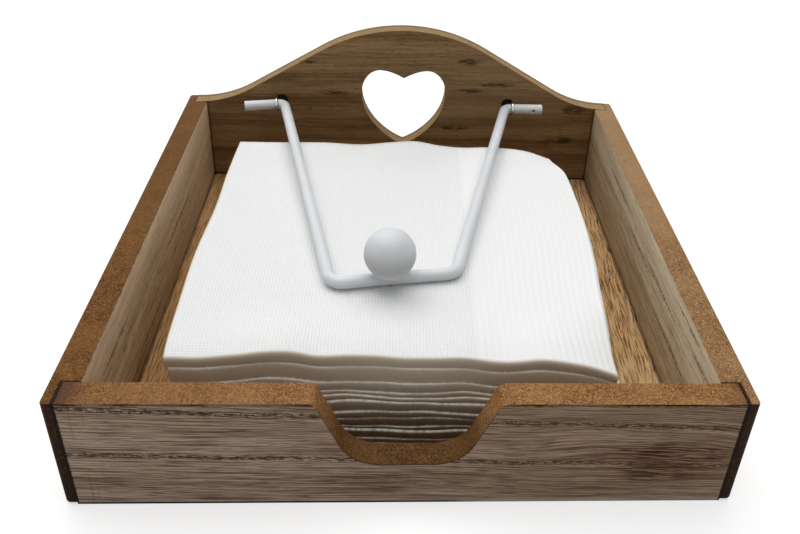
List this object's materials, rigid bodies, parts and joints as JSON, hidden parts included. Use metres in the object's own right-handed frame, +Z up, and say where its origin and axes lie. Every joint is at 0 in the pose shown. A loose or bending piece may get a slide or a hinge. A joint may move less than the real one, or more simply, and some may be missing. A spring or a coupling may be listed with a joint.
{
  "type": "napkin holder",
  "caption": "Square wooden napkin tray with a wavy back board, a heart cut-out, a finger notch in front and a hinged wire arm whose ball holds the stack down.",
  "frame": {"origin": "on the table, under the middle of the tray's plan", "axes": "+X to the right seen from the front, +Y from the notched front board to the wavy back board, +Z up"},
  "size_m": [0.19, 0.1906, 0.0734],
  "materials": {
    "board_wood": "matte",
    "floor_wood": "matte",
    "white_paint": "satin",
    "bright_steel": "polished",
    "napkin_tissue": "matte"
  },
  "bodies": {
    "tray": {"base_panel": "floor_wood", "left_side": "board_wood", "right_side": "board_wood", "front_board": "board_wood", "back_board": "board_wood", "left_eye": "bright_steel", "right_eye": "bright_steel", "napkin_01": "napkin_tissue", "napkin_02": "napkin_tissue", "napkin_03": "napkin_tissue", "napkin_04": "napkin_tissue", "napkin_05": "napkin_tissue", "napkin_06": "napkin_tissue", "napkin_07": "napkin_tissue", "napkin_08": "napkin_tissue", "napkin_09": "napkin_tissue", "napkin_10": "napkin_tissue", "napkin_11": "napkin_tissue", "napkin_12": "napkin_tissue"},
    "arm": {"arm_wire": "white_paint", "ball_knob": "white_paint", "ball_stud": "bright_steel"}
  },
  "joints": [
    {"name": "arm_pivot", "type": "hinge", "parent": "tray", "child": "arm", "pos_m": [-0.00355, 0.0836, 0.0401], "axis": [-1, 0, 0], "range_deg": [0, 98]}
  ]
}
